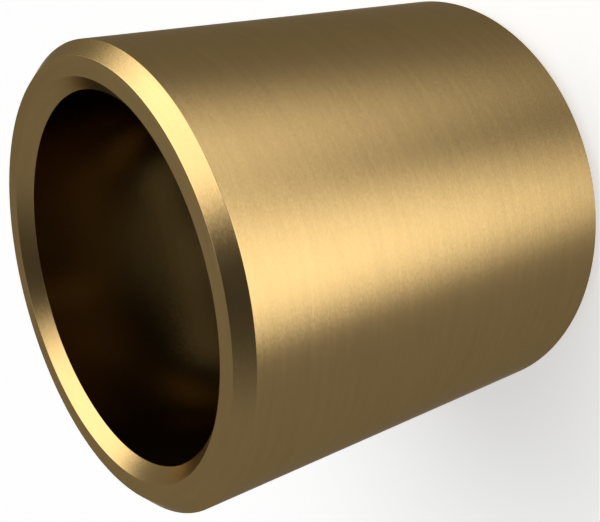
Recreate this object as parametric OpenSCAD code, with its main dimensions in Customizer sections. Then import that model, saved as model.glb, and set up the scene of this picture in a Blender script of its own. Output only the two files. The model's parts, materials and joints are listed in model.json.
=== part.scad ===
// Plain cylindrical bronze bushing: one turned ring with a through bore.
// Both ends are alike: a flat face, a chamfer on the outside that starts the
// bushing into its housing, and a chamfer in the bore that leads the shaft in.
// It stands on one end face, at z = 0, with the bore's axis upright.
// All sizes are in millimetres.

/* [Bore] */
// Diameter of the bore, which runs on the shaft
bore_d = 40; // [10:1:120]

/* [Body] */
// Thickness of the wall between the bore and the outside
wall = 5; // [4.5:0.5:12]
// Length over the two end faces
length = 50; // [20:1:150]

/* [Chamfers] */
// Leg of the 45 degree chamfer on the outside, at each end
outer_chamfer = 1.5; // [0.5:0.1:2]
// Leg of the 45 degree chamfer in the bore, at each end
bore_chamfer = 1.5; // [0.5:0.1:2]

/* [Edges] */
// Radius that deburring leaves on every turned edge
edge_radius = 0.1; // [0.05:0.05:0.4]

/* [Hidden] */

// Fineness of the round surfaces, and of each deburred edge
round_facets = 180;
edge_steps = 4;

bore_r = bore_d / 2;
outer_r = bore_r + wall;

// The section before its edges are rounded, as points of [distance from the axis,
// height] that run anticlockwise from the bottom face's outer corner
sharp_section = [
    [outer_r - outer_chamfer, 0],
    [outer_r, outer_chamfer],
    [outer_r, length - outer_chamfer],
    [outer_r - outer_chamfer, length],
    [bore_r + bore_chamfer, length],
    [bore_r, length - bore_chamfer],
    [bore_r, bore_chamfer],
    [bore_r + bore_chamfer, 0],
];

function unit(v) = v / norm(v);

// The arc that replaces one corner of an anticlockwise convex outline
function rounded_corner(before, corner, after, radius, steps) =
    let (
        come = unit(corner - before),
        go = unit(after - corner),
        turn = acos(come * go),
        start = corner - come * radius * tan(turn / 2),
        centre = start + [-come.y, come.x] * radius,
        first_angle = atan2(-come.x, come.y)
    )
    [for (i = [0 : steps])
        let (angle = first_angle + turn * i / steps)
        centre + radius * [cos(angle), sin(angle)]];

// The outline with all its corners rounded
function rounded_outline(corners, radius, steps) =
    let (n = len(corners))
    [for (i = [0 : n - 1])
        each rounded_corner(
            corners[(i + n - 1) % n], corners[i], corners[(i + 1) % n], radius, steps)];

// The ring, turned from one piece of bronze
module bushing() {
    color([0.80, 0.64, 0.40])
        rotate_extrude($fn = round_facets)
            polygon(rounded_outline(sharp_section, edge_radius, edge_steps));
}

bushing();
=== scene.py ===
# Looks of a plain bronze bushing: one ring, turned from bronze and left satin, that stands on its
# end face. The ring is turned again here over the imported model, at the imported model's sizes, so that
# its small edge radii shade as true rounds. The studio around it is a pale floor in a surround that
# is white to the camera, and that lights the bushing with soft boxes that the camera doesn't see.
# Lengths are in metres and angles in radians, unless a name or a unit says otherwise.

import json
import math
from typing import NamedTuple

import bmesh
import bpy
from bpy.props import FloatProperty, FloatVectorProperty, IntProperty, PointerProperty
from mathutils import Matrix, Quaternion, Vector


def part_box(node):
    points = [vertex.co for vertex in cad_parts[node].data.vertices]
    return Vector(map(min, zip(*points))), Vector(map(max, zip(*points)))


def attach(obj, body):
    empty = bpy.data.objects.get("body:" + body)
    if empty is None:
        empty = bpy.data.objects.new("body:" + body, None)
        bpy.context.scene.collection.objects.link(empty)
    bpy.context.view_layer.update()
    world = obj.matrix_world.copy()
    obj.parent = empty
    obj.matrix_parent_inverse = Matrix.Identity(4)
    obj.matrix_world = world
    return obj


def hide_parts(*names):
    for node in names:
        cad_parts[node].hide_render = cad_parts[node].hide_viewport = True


bl_info = {
    "name": "Bronze Bushing",
    "version": (1, 0, 0),
    "blender": (4, 5, 0),
    "location": "View3D > Sidebar > Bushing",
    "description": "Turns a plain bronze bushing and sets up its studio",
    "category": "Object",
}

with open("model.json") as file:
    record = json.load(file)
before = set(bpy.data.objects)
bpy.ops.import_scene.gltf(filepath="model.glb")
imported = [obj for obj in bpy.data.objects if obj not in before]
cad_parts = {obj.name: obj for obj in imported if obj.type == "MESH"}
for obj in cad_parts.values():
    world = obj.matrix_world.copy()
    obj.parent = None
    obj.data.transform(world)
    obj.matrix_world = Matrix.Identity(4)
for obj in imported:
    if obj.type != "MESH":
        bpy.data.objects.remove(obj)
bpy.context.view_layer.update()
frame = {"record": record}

NODE = "bushing"
BODY = "root"
BAKE_MAP = "OFBake"
MILLIMETRE = 0.001
FULL_TURN = 2 * math.pi
QUARTER_ROTATION = 0.25
FIRST_REFLECTION = 1
SECOND_REFLECTION = 2

# Blender's noise has its middle at 0.5 and mostly stays within 0.25 of it
NOISE_MIDDLE = 0.5
NOISE_REACH = 0.25
# Cosine and sine of the slant at which the noise lies in the ring's section
NOISE_SLANT = (0.8, 0.6)
# The normal's outward part, where the bore's finer finish starts and where it is complete. That
# part is -0.7 on the bore's chamfers and -1 on its wall.
BORE_FINISH_NORMAL = (-0.8, -0.95)
# Least part of a line of sight towards a patch of the studio, which its other parts are divided by
LEAST_DEPTH = 0.001


def mount_radius(name):
    """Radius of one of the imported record's round mounts."""
    mount = next(m for m in frame["record"]["mounts"] if m["name"] == name)
    return mount["dims"]["r_mm"] * MILLIMETRE


END_FACES = [corner.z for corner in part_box(NODE)]


class BushingSizes(bpy.types.PropertyGroup):
    """Sizes of the turned ring"""

    outer_radius: FloatProperty(
        name="Outside radius", description="Radius of the wall that the housing grips",
        default=mount_radius("outside"), min=0.005, unit="LENGTH", subtype="DISTANCE")
    bore_radius: FloatProperty(
        name="Bore radius", description="Radius of the wall that the shaft runs on",
        default=mount_radius("bore"), min=0.004, unit="LENGTH", subtype="DISTANCE")
    lower_face: FloatProperty(
        name="Lower face", description="Height of the end face that the bushing stands on",
        default=END_FACES[0], unit="LENGTH", subtype="DISTANCE")
    upper_face: FloatProperty(
        name="Upper face", description="Height of the other end face",
        default=END_FACES[1], unit="LENGTH", subtype="DISTANCE")
    outer_chamfer: FloatProperty(
        name="Outer chamfer", description="Leg of the 45 degree chamfers on the outside",
        default=0.0015, min=0.0002, unit="LENGTH", subtype="DISTANCE")
    bore_chamfer: FloatProperty(
        name="Bore chamfer", description="Leg of the 45 degree chamfers in the bore",
        default=0.0015, min=0.0002, unit="LENGTH", subtype="DISTANCE")
    edge_radius: FloatProperty(
        name="Edge radius", description="Radius that deburring leaves on every turned edge",
        default=0.0001, min=0.00001, unit="LENGTH", subtype="DISTANCE")
    edge_steps: IntProperty(
        name="Edge steps", description="Faces across each rounded edge", default=6, min=2)
    facets: IntProperty(
        name="Facets", description="Faces round the axis", default=360, min=24)
    row_height: FloatProperty(
        name="Row height", description="Longest face along the two walls",
        default=0.002, min=0.0002, unit="LENGTH", subtype="DISTANCE")


class BronzeFinish(bpy.types.PropertyGroup):
    """Colour and finish of the turned bronze"""

    colour: FloatVectorProperty(
        name="Bronze", description="Colour that the metal gives to white light",
        default=(0.853, 0.58, 0.242), size=3, min=0, max=1, subtype="COLOR")
    rim_tint: FloatVectorProperty(
        name="Rim tint", description="Keeps the bronze warm where it is seen at a flat angle",
        default=(0.955, 0.85, 0.64), size=3, min=0, max=1, subtype="COLOR")
    roughness: FloatProperty(
        name="Roughness", description="Roughness of the satin finish",
        default=0.26, min=0, max=1, subtype="FACTOR")
    bore_roughness: FloatProperty(
        name="Bore roughness", description="Roughness of the finer finish in the bore",
        default=0.13, min=0, max=1, subtype="FACTOR")
    stretch: FloatProperty(
        name="Stretch", description="How much the marks stretch reflections across themselves",
        default=0.3, min=0, max=1, subtype="FACTOR")
    mark_width: FloatProperty(
        name="Mark width", description="Width of the fine marks that run round the axis",
        default=0.00013, min=0.00001, unit="LENGTH", subtype="DISTANCE")
    mark_length: FloatProperty(
        name="Mark length", description="Length of one fine mark",
        default=0.0003, min=0.0001, unit="LENGTH", subtype="DISTANCE")
    mark_tilt: FloatProperty(
        name="Mark tilt", description="How far the sides of a fine mark lean across it",
        default=math.radians(0.9), unit="ROTATION", subtype="ANGLE")
    end_tilt: FloatProperty(
        name="End tilt", description="How far the ends of a fine mark lean along it",
        default=math.radians(0.85), unit="ROTATION", subtype="ANGLE")
    mark_shade: FloatProperty(
        name="Mark shade", description="How much the fine marks differ in shade",
        default=0.018, min=0, max=0.5, subtype="FACTOR")
    streak_length: FloatProperty(
        name="Streak length", description="Length of the long streaks that run among the marks",
        default=0.008, min=0.0001, unit="LENGTH", subtype="DISTANCE")
    streak_width: FloatProperty(
        name="Streak width", description="Width of the long streaks",
        default=0.0007, min=0.0001, unit="LENGTH", subtype="DISTANCE")
    streak_roughness: FloatProperty(
        name="Streak roughness", description="How much the streaks differ in roughness",
        default=0.002, min=0, max=0.2, subtype="FACTOR")
    streak_shade: FloatProperty(
        name="Streak shade", description="How much the streaks differ in shade",
        default=0.044, min=0, max=0.5, subtype="FACTOR")


class StudioSetup(bpy.types.PropertyGroup):
    """Floor, surround and camera"""

    floor_radius: FloatProperty(
        name="Floor radius", description="Radius at which the floor has faded into the surround",
        default=0.7, min=0.1, unit="LENGTH", subtype="DISTANCE")
    floor_fade: FloatProperty(
        name="Floor fade", description="Radius at which the floor starts to fade",
        default=0.21, min=0.05, unit="LENGTH", subtype="DISTANCE")
    floor_colour: FloatVectorProperty(
        name="Floor", description="Colour of the floor",
        default=(0.9, 0.9, 0.9), size=3, min=0, max=1, subtype="COLOR")
    floor_lift: FloatProperty(
        name="Floor lift", description="Light that the floor gives off towards the camera alone",
        default=0.575, min=0, max=1, subtype="FACTOR")
    shadow_depth: FloatProperty(
        name="Shadow depth", description="Share of the light on the floor that the camera sees",
        default=0.88, min=0, soft_max=2)
    # The floor inside the bore is lit by no lamp. It glows with painted shade, grey in the middle and
    # darker towards the foot of the bore, and with painted pools of light.
    bore_middle: FloatProperty(
        name="Bore middle", description="Brightness at the middle of the floor inside the bore",
        default=0.22, min=0, max=1, subtype="FACTOR")
    bore_foot_painted_shade: FloatProperty(
        name="Bore foot", description="Brightness of that floor at the foot of the bore",
        default=0.10, min=0, max=1, subtype="FACTOR")
    painted_pool_colour: FloatVectorProperty(
        name="Pool colour", description="Colour of the faint pools of light on that floor",
        default=(0.38, 0.51, 0.95), size=3, min=0, max=1, subtype="COLOR")
    painted_pool_reach: FloatProperty(
        name="Pool reach", description="Count of reflections at which those pools no longer show",
        default=7, min=3)
    studio_reach: FloatProperty(
        name="Studio reach", description="Count of reflections at which the studio no longer shows",
        default=3, min=2)
    dim_light: FloatProperty(
        name="Dim light", description="Brightness of the studio between the soft boxes",
        default=0.172, min=0, max=1)
    view_target: FloatVectorProperty(
        name="View target", description="Point at the middle of the camera's sight",
        default=(-0.0003, 0.0020, 0.0250), size=3, unit="LENGTH", subtype="TRANSLATION")
    view_distance: FloatProperty(
        name="View distance", description="Distance from the camera to that point",
        default=0.1187, min=0.01, unit="LENGTH", subtype="DISTANCE")
    view_elevation: FloatProperty(
        name="View elevation", description="How steeply the camera looks down",
        default=math.radians(34.81), unit="ROTATION", subtype="ANGLE")
    view_roll: FloatProperty(
        name="View roll", description="Turn of the camera about its own sight",
        default=math.radians(-105.09), unit="ROTATION", subtype="ANGLE")
    view_shift: FloatVectorProperty(
        name="View shift", description="Sideways and upward shift, as a share of the picture's width",
        default=(0.0254, -0.0368), size=2)
    focal_length: FloatProperty(
        name="Focal length", description="Focal length in millimetres, on a 36 mm wide sensor",
        default=59.56, min=10)


class Patch(NamedTuple):
    """A rectangle with soft edges in the studio, far from the bushing. Its half sizes and its soft
    edge are tangents of the angles that they take up, seen from the bushing."""

    azimuth_deg: float
    elevation_deg: float
    roll_deg: float
    half_width: float
    half_height: float
    soft_edge: float
    brightness: float


SOFT_BOXES = (
    Patch(90, 49, 19, 0.70, 0.63, 0.30, 1.52),
    Patch(-4, -21, 39, 0.68, 0.39, 0.32, 1.27),
    Patch(61, -12, 45, 0.71, 0.24, 0.42, 1.05),
)
# Gap behind the bushing through which the metal mirrors the white surround
WHITE_GAP = Patch(180, -28, 0, 0.30, 0.45, 0.12, 1.0)


class DarkCard(NamedTuple):
    """A dark card in the studio that takes away light round one direction."""

    azimuth_deg: float
    elevation_deg: float
    full_deg: float
    reach_deg: float
    darkening: float


DARK_CARDS = (
    DarkCard(2, 55, 0, 61, 0.15),
    DarkCard(110, -39, 30, 110, 0.04),
)


class Pool(NamedTuple):
    """A round painted pool of light on the floor inside the bore, which glows there though no lamp
    lights it, and fades out at its radius.
    """

    x: float
    y: float
    radius: float
    brightness: float


# Painted pools of light that the floor inside the bore gives off, and that the bore's wall mirrors
PAINTED_POOLS = (
    Pool(0.0065, 0.0030, 0.0265, 0.100),
    Pool(-0.0005, -0.0095, 0.0110, 0.165),
)


class Wire:
    """A node's output, to be used in expressions. Numbers meet in Math nodes, vectors in Vector Math
    nodes, and a number that meets a vector acts on all three of its parts."""

    def __init__(self, graph, socket):
        self.graph = graph
        self.socket = socket

    def __add__(self, other):
        return self.graph.calculate("ADD", self, other)

    def __radd__(self, other):
        return self.graph.calculate("ADD", other, self)

    def __sub__(self, other):
        return self.graph.calculate("SUBTRACT", self, other)

    def __rsub__(self, other):
        return self.graph.calculate("SUBTRACT", other, self)

    def __mul__(self, other):
        return self.graph.calculate("MULTIPLY", self, other)

    def __rmul__(self, other):
        return self.graph.calculate("MULTIPLY", other, self)

    def __truediv__(self, other):
        return self.graph.calculate("DIVIDE", self, other)

    def __rtruediv__(self, other):
        return self.graph.calculate("DIVIDE", other, self)

    def __abs__(self):
        return self.graph.calculate("ABSOLUTE", self)

    def length(self):
        """Length of a vector."""
        return self.graph.add(
            "ShaderNodeVectorMath", {"operation": "LENGTH"}, {0: self}, "Value")

    def dot(self, other):
        """Dot product with another vector."""
        return self.graph.add(
            "ShaderNodeVectorMath", {"operation": "DOT_PRODUCT"}, {0: self, 1: other}, "Value")

    def cross(self, other):
        """Cross product with another vector."""
        return self.graph.calculate("CROSS_PRODUCT", self, other)

    def unit(self):
        """The vector of length 1 in the same direction."""
        return self.graph.calculate("NORMALIZE", self)

    def ramp(self, start, end):
        """Goes smoothly from 0 where the number is start to 1 where it is end."""
        return self.graph.add(
            "ShaderNodeMapRange", {"interpolation_type": "SMOOTHSTEP"},
            {"Value": self, "From Min": start, "From Max": end})


class Graph:
    """A shader's nodes. All of them are added by one method, or by arithmetic on wires."""

    def __init__(self, tree):
        self.tree = tree
        tree.nodes.clear()

    def add(self, kind, settings, inputs, output=0):
        """Adds a node, makes its settings, fills its inputs with values or wires, and returns one
        of its outputs."""
        node = self.tree.nodes.new(kind)
        for name, value in settings.items():
            setattr(node, name, value)
        for key, value in inputs.items():
            if isinstance(value, Wire):
                self.tree.links.new(value.socket, node.inputs[key])
            else:
                node.inputs[key].default_value = value
        return Wire(self, node.outputs[output]) if node.outputs else None

    def calculate(self, operation, *operands):
        """Adds the Math or Vector Math node for one operation."""
        if any(is_vector(operand) for operand in operands):
            kind = "ShaderNodeVectorMath"
            operands = [as_vector(operand) for operand in operands]
        else:
            kind = "ShaderNodeMath"
        return self.add(kind, {"operation": operation}, dict(enumerate(operands)))


def is_vector(operand):
    """Whether an operand of an expression is a vector."""
    if isinstance(operand, Wire):
        return operand.socket.type == "VECTOR"
    return isinstance(operand, (tuple, Vector))


def as_vector(operand):
    """An operand in the form that a Vector Math node takes."""
    if isinstance(operand, Wire) or is_vector(operand):
        return operand
    return (operand, operand, operand)


def direction(azimuth, elevation):
    """Unit vector towards an azimuth, which is 0 along -Y and grows towards +X, and an elevation."""
    return Vector((
        math.sin(azimuth) * math.cos(elevation),
        -math.cos(azimuth) * math.cos(elevation),
        math.sin(elevation)))


def rounded_corner(before, corner, after, radius, steps):
    """The arc that replaces one corner of an anticlockwise section, as points with their normals."""
    come = (corner - before).normalized()
    go = (after - corner).normalized()
    turn = math.acos(come.dot(go))
    inward = Vector((-come.y, come.x))
    centre = corner - come * radius * math.tan(turn / 2) + inward * radius
    first = math.atan2(-come.x, come.y)
    normals = [
        Vector((math.cos(first + turn * step / steps), math.sin(first + turn * step / steps)))
        for step in range(steps + 1)]
    return [(centre + normal * radius, normal) for normal in normals]


def straight_rows(start, end, row_height):
    """Points that split the straight from one arc to the next into rows, with their normals."""
    (first, normal), (last, _) = start, end
    count = math.ceil((last - first).length / row_height)
    return [(first.lerp(last, row / count), normal) for row in range(1, count)]


def ring_section(sizes):
    """The ring's section as points (distance from the axis, height) with their normals,
    anticlockwise from the lower face's outer edge."""
    outer, bore = sizes.outer_radius, sizes.bore_radius
    low, high = sizes.lower_face, sizes.upper_face
    out, inn = sizes.outer_chamfer, sizes.bore_chamfer
    corners = [Vector(corner) for corner in (
        (outer - out, low), (outer, low + out), (outer, high - out), (outer - out, high),
        (bore + inn, high), (bore, high - inn), (bore, low + inn), (bore + inn, low))]
    count = len(corners)
    arcs = [
        rounded_corner(
            corners[index - 1], corners[index], corners[(index + 1) % count],
            sizes.edge_radius, sizes.edge_steps)
        for index in range(count)]
    section = []
    for index, arc in enumerate(arcs):
        section += arc
        section += straight_rows(arc[-1], arcs[(index + 1) % count][0], sizes.row_height)
    return section


def turn_ring(name, section, facets):
    """A closed ring made by turning a section round Z, with exact normals and a map that unrolls it:
    once round across, and once round the section upwards."""
    rows = len(section)
    spokes = [
        Vector((math.cos(FULL_TURN * facet / facets), math.sin(FULL_TURN * facet / facets)))
        for facet in range(facets)]
    mesh = bpy.data.meshes.new(name)
    shape = bmesh.new()
    rings = [
        [shape.verts.new((spoke.x * point.x, spoke.y * point.x, point.y)) for point, _ in section]
        for spoke in spokes]
    steps = [(section[(row + 1) % rows][0] - section[row][0]).length for row in range(rows)]
    heights = [sum(steps[:row]) / sum(steps) for row in range(rows + 1)]
    unrolled = shape.loops.layers.uv.new(BAKE_MAP)
    for facet in range(facets):
        here, there = rings[facet], rings[(facet + 1) % facets]
        for row in range(rows):
            above = (row + 1) % rows
            face = shape.faces.new((here[row], there[row], there[above], here[above]))
            face.smooth = True
            corners = (
                (facet, row), (facet + 1, row), (facet + 1, row + 1), (facet, row + 1))
            for loop, (across, up) in zip(face.loops, corners):
                loop[unrolled].uv = (across / facets, heights[up])
    shape.to_mesh(mesh)
    shape.free()
    mesh.normals_split_custom_set_from_vertices([
        (spoke.x * normal.x, spoke.y * normal.x, normal.y)
        for spoke in spokes for _, normal in section])
    return mesh


def flat_ring(name, inner, outer, facets=96):
    """A flat ring round the axis at height 0, or a disc if its inner radius is 0."""
    mesh = bpy.data.meshes.new(name)
    shape = bmesh.new()
    bmesh.ops.create_circle(shape, cap_ends=not inner, segments=facets, radius=outer)
    if inner:
        bmesh.ops.create_circle(shape, segments=facets, radius=inner)
        bmesh.ops.bridge_loops(shape, edges=shape.edges[:])
    shape.to_mesh(mesh)
    shape.free()
    return mesh


def bronze(finish, radius):
    """Turned bronze: satin, with fine short marks and longer faint streaks that run round the axis,
    and with a finer finish in the bore."""
    material = bpy.data.materials.new("turned bronze")
    material.use_nodes = True
    graph = Graph(material.node_tree)
    place = graph.add("ShaderNodeTexCoord", {}, {}, "Object")
    facing = graph.add("ShaderNodeTexCoord", {}, {}, "Normal")
    axis = graph.add("ShaderNodeCombineXYZ", {}, {"Z": 1.0})
    height = place.dot(axis)
    reach = (place * (1.0, 1.0, 0.0)).length()
    spoke = place * (1.0, 1.0, 0.0) / reach
    round_way = axis.cross(spoke)
    across_way = facing.cross(round_way)

    def pattern(width, length, seed, detail):
        """Noise from about -1 to 1, drawn out round the axis: its features are so wide across and so
        long round. It lies aslant in the section, so that no wall or face runs along its grid."""
        cosine, sine = NOISE_SLANT
        rising = (height * cosine - reach * sine) / width
        crossing = (height * sine + reach * cosine) / width
        noise = graph.add(
            "ShaderNodeTexNoise", {"noise_dimensions": "4D"},
            {"Vector": spoke * (radius / length) + axis * rising, "W": crossing + seed,
             "Scale": 1.0, "Detail": detail}, "Fac")
        return (noise - NOISE_MIDDLE) / NOISE_REACH

    lean_across = pattern(finish.mark_width, finish.mark_length, seed=11.3, detail=1.0)
    lean_along = pattern(finish.mark_width, finish.mark_length, seed=47.9, detail=1.0)
    streaks = pattern(finish.streak_width, finish.streak_length, seed=83.1, detail=2.0)
    in_bore = facing.dot(spoke).ramp(*BORE_FINISH_NORMAL)
    roughness = finish.roughness + in_bore * (finish.bore_roughness - finish.roughness)
    leaning = (
        facing
        + across_way * (lean_across * math.tan(finish.mark_tilt))
        + round_way * (lean_along * math.tan(finish.end_tilt)))
    normal = graph.add(
        "ShaderNodeVectorTransform",
        {"vector_type": "NORMAL", "convert_from": "OBJECT", "convert_to": "WORLD"},
        {"Vector": leaning.unit()})
    shade = 1 + streaks * finish.streak_shade + lean_across * finish.mark_shade
    colour = graph.add(
        "ShaderNodeMix", {"data_type": "RGBA", "blend_type": "MULTIPLY"},
        {"Factor": 1.0, 6: (*finish.colour, 1.0), 7: shade}, 2)
    surface = graph.add("ShaderNodeBsdfPrincipled", {}, {
        "Base Color": colour,
        "Metallic": 1.0,
        "Roughness": roughness + streaks * finish.streak_roughness,
        "Normal": normal,
        "Anisotropic": finish.stretch,
        "Anisotropic Rotation": QUARTER_ROTATION,
        "Specular Tint": (*finish.rim_tint, 1.0),
    })
    graph.add("ShaderNodeOutputMaterial", {}, {"Surface": surface})
    return material


def bore_floor_painted_light(studio, radius):
    """The floor inside the bore, with painted shade and painted light: it glows by itself. The camera
    and the bronze's first reflections see it in painted shade, grey in the middle and darker towards the
    foot of the bore. Light that goes on from wall to wall in the bore comes from faint painted pools of
    light on it, and fades with each reflection."""
    material = bpy.data.materials.new("bore floor painted light")
    material.use_nodes = True
    graph = Graph(material.node_tree)
    reflections = graph.add("ShaderNodeLightPath", {}, {}, "Ray Depth")
    onward = reflections.ramp(FIRST_REFLECTION, SECOND_REFLECTION)
    lasting = reflections.ramp(studio.painted_pool_reach, SECOND_REFLECTION)
    place = graph.add("ShaderNodeTexCoord", {}, {}, "Object")
    middle = place.length().ramp(radius, 0)
    # Painted shade: grey in the middle, darker towards the foot of the bore
    painted_bore_shade = studio.bore_foot_painted_shade + middle * (studio.bore_middle - studio.bore_foot_painted_shade)
    # Painted pools of light on the floor
    pools = 0
    for pool in PAINTED_POOLS:
        away = (place - (pool.x, pool.y, 0.0)).length()
        pools = pools + away.ramp(pool.radius, 0) * pool.brightness
    light = (1 - onward) * painted_bore_shade + onward * lasting * pools * tuple(studio.painted_pool_colour)
    # The floor glows: this emission paints its shade and its pools of light
    shade = graph.add("ShaderNodeEmission", {}, {"Color": light})
    graph.add("ShaderNodeOutputMaterial", {}, {"Surface": shade})
    return material


def floor_paint(studio):
    """Pale matt paint that keeps shadows and fades into the surround at the floor's edge."""
    material = bpy.data.materials.new("pale floor")
    material.use_nodes = True
    graph = Graph(material.node_tree)
    seen = graph.add("ShaderNodeLightPath", {}, {}, "Is Camera Ray")
    away = graph.add("ShaderNodeTexCoord", {}, {}, "Object").length()
    shade = (1 - seen) + seen * studio.shadow_depth
    tone = graph.add(
        "ShaderNodeMix", {"data_type": "RGBA", "blend_type": "MULTIPLY"},
        {"Factor": 1.0, 6: (*studio.floor_colour, 1.0), 7: shade}, 2)
    matt = graph.add("ShaderNodeBsdfDiffuse", {}, {"Color": tone})
    glow = graph.add("ShaderNodeEmission", {}, {"Strength": seen * studio.floor_lift})
    gone = graph.add("ShaderNodeBsdfTransparent", {}, {})
    lifted = graph.add("ShaderNodeAddShader", {}, {0: matt, 1: glow})
    faded = graph.add("ShaderNodeMixShader", {}, {
        0: away.ramp(studio.floor_fade, studio.floor_radius), 1: lifted, 2: gone})
    graph.add("ShaderNodeOutputMaterial", {}, {"Surface": faded})
    return material


def patch_light(graph, sight, patch):
    """Light of one patch of the studio along a line of sight. There is none behind it."""
    azimuth, elevation = math.radians(patch.azimuth_deg), math.radians(patch.elevation_deg)
    ahead = direction(azimuth, elevation)
    level = Vector((math.cos(azimuth), math.sin(azimuth), 0))
    sideways = Quaternion(ahead, math.radians(patch.roll_deg)) @ level
    upward = ahead.cross(sideways)
    depth = graph.calculate("MAXIMUM", sight.dot(ahead), LEAST_DEPTH)
    width = abs(sight.dot(sideways)) / depth
    height = abs(sight.dot(upward)) / depth
    in_width = width.ramp(patch.half_width + patch.soft_edge, patch.half_width - patch.soft_edge)
    in_height = height.ramp(
        patch.half_height + patch.soft_edge, patch.half_height - patch.soft_edge)
    return in_width * in_height * patch.brightness


def dark_card_shade(graph, sight, card):
    """Light that one dark card takes away along a line of sight."""
    centre = direction(math.radians(card.azimuth_deg), math.radians(card.elevation_deg))
    start, end = math.cos(math.radians(card.reach_deg)), math.cos(math.radians(card.full_deg))
    return sight.dot(centre).ramp(start, end) * card.darkening


def surround(studio):
    """White to the camera. The bushing is lit by, and mirrors, a dim studio with soft boxes in it,
    which fades where the bore mirrors it again and again. Through a gap it mirrors the white."""
    world = bpy.data.worlds.new("studio")
    world.use_nodes = True
    graph = Graph(world.node_tree)
    seen = graph.add("ShaderNodeLightPath", {}, {}, "Is Camera Ray")
    sight = graph.add("ShaderNodeTexCoord", {}, {}, "Generated")
    light = studio.dim_light
    for card in DARK_CARDS:
        light = light - dark_card_shade(graph, sight, card)
    for box in SOFT_BOXES:
        light = light + patch_light(graph, sight, box)
    # Seen from the surround, the ray depth is one more than the count of reflections
    reflections = graph.add("ShaderNodeLightPath", {}, {}, "Ray Depth") - 1
    lasting = reflections.ramp(studio.studio_reach, FIRST_REFLECTION)
    mirrored = graph.add("ShaderNodeLightPath", {}, {}, "Is Glossy Ray")
    white = seen + mirrored * patch_light(graph, sight, WHITE_GAP)
    shown = white + (1 - white) * lasting * light
    background = graph.add(
        "ShaderNodeBackground", {}, {"Color": (1.0, 1.0, 1.0, 1.0), "Strength": shown})
    graph.add("ShaderNodeOutputWorld", {}, {"Surface": background})
    return world


class BUSHING_OT_turn_ring(bpy.types.Operator):
    """Turn the bronze ring"""

    bl_idname = "bushing.turn_ring"
    bl_label = "Turn the Ring"

    def execute(self, context):
        sizes = context.scene.bushing_sizes
        mesh = turn_ring("turned_ring", ring_section(sizes), sizes.facets)
        mesh.materials.append(bronze(context.scene.bushing_finish, sizes.outer_radius))
        ring = bpy.data.objects.new("turned_ring", mesh)
        context.scene.collection.objects.link(ring)
        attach(ring, BODY)
        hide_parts(NODE)
        return {"FINISHED"}


class BUSHING_OT_set_stage(bpy.types.Operator):
    """Lay the floor, light the studio and place the camera"""

    bl_idname = "bushing.set_stage"
    bl_label = "Set the Stage"

    def execute(self, context):
        studio = context.scene.bushing_studio
        self.lay_floor(context, studio)
        context.scene.world = surround(studio)
        self.place_camera(context, studio)
        context.scene.view_settings.view_transform = "Standard"
        return {"FINISHED"}

    def lay_floor(self, context, studio):
        """The floor under the lower face, in two parts that meet under the ring. The outer part
        neither shows in the metal nor keeps the studio's light from it, because from the reference
        view all of the wall would mirror that part."""
        sizes = context.scene.bushing_sizes
        seam = (sizes.outer_radius + sizes.bore_radius) / 2
        inside = flat_ring("bore_floor", 0, seam)
        # Its material paints the shade and the pools of light inside the bore
        inside.materials.append(bore_floor_painted_light(studio, sizes.bore_radius))
        outside = flat_ring("floor", seam, studio.floor_radius)
        outside.materials.append(floor_paint(studio))
        for mesh in (inside, outside):
            floor = bpy.data.objects.new(mesh.name, mesh)
            floor.visible_glossy = mesh == inside
            floor.visible_shadow = mesh == inside
            context.scene.collection.objects.link(floor)

    def place_camera(self, context, studio):
        """A camera at the reference view, turned about its sight by the view's roll."""
        lens = bpy.data.cameras.new("camera")
        lens.lens = studio.focal_length
        lens.shift_x, lens.shift_y = studio.view_shift
        lens.clip_start = MILLIMETRE
        camera = bpy.data.objects.new("camera", lens)
        back = direction(0, studio.view_elevation)
        camera.location = Vector(studio.view_target) + back * studio.view_distance
        camera.rotation_mode = "QUATERNION"
        level = (-back).to_track_quat("-Z", "Y")
        camera.rotation_quaternion = level @ Quaternion((0, 0, 1), studio.view_roll)
        context.scene.collection.objects.link(camera)
        context.scene.camera = camera


class BUSHING_PT_sidebar(bpy.types.Panel):
    """Sizes, finish and studio of the bushing"""

    bl_idname = "BUSHING_PT_sidebar"
    bl_label = "Bronze Bushing"
    bl_space_type = "VIEW_3D"
    bl_region_type = "UI"
    bl_category = "Bushing"

    def draw(self, context):
        for title, settings, operator in (
                ("Ring", context.scene.bushing_sizes, None),
                ("Finish", context.scene.bushing_finish, BUSHING_OT_turn_ring),
                ("Studio", context.scene.bushing_studio, BUSHING_OT_set_stage)):
            box = self.layout.box()
            box.label(text=title)
            for name in settings.__annotations__:
                box.prop(settings, name)
            if operator:
                box.operator(operator.bl_idname)


CLASSES = (
    BushingSizes,
    BronzeFinish,
    StudioSetup,
    BUSHING_OT_turn_ring,
    BUSHING_OT_set_stage,
    BUSHING_PT_sidebar,
)


def register():
    for cls in CLASSES:
        bpy.utils.register_class(cls)
    bpy.types.Scene.bushing_sizes = PointerProperty(type=BushingSizes)
    bpy.types.Scene.bushing_finish = PointerProperty(type=BronzeFinish)
    bpy.types.Scene.bushing_studio = PointerProperty(type=StudioSetup)


def unregister():
    del bpy.types.Scene.bushing_studio
    del bpy.types.Scene.bushing_finish
    del bpy.types.Scene.bushing_sizes
    for cls in reversed(CLASSES):
        bpy.utils.unregister_class(cls)


def main():
    register()
    bpy.ops.bushing.turn_ring()
    bpy.ops.bushing.set_stage()


if __name__ == "__main__":
    main()
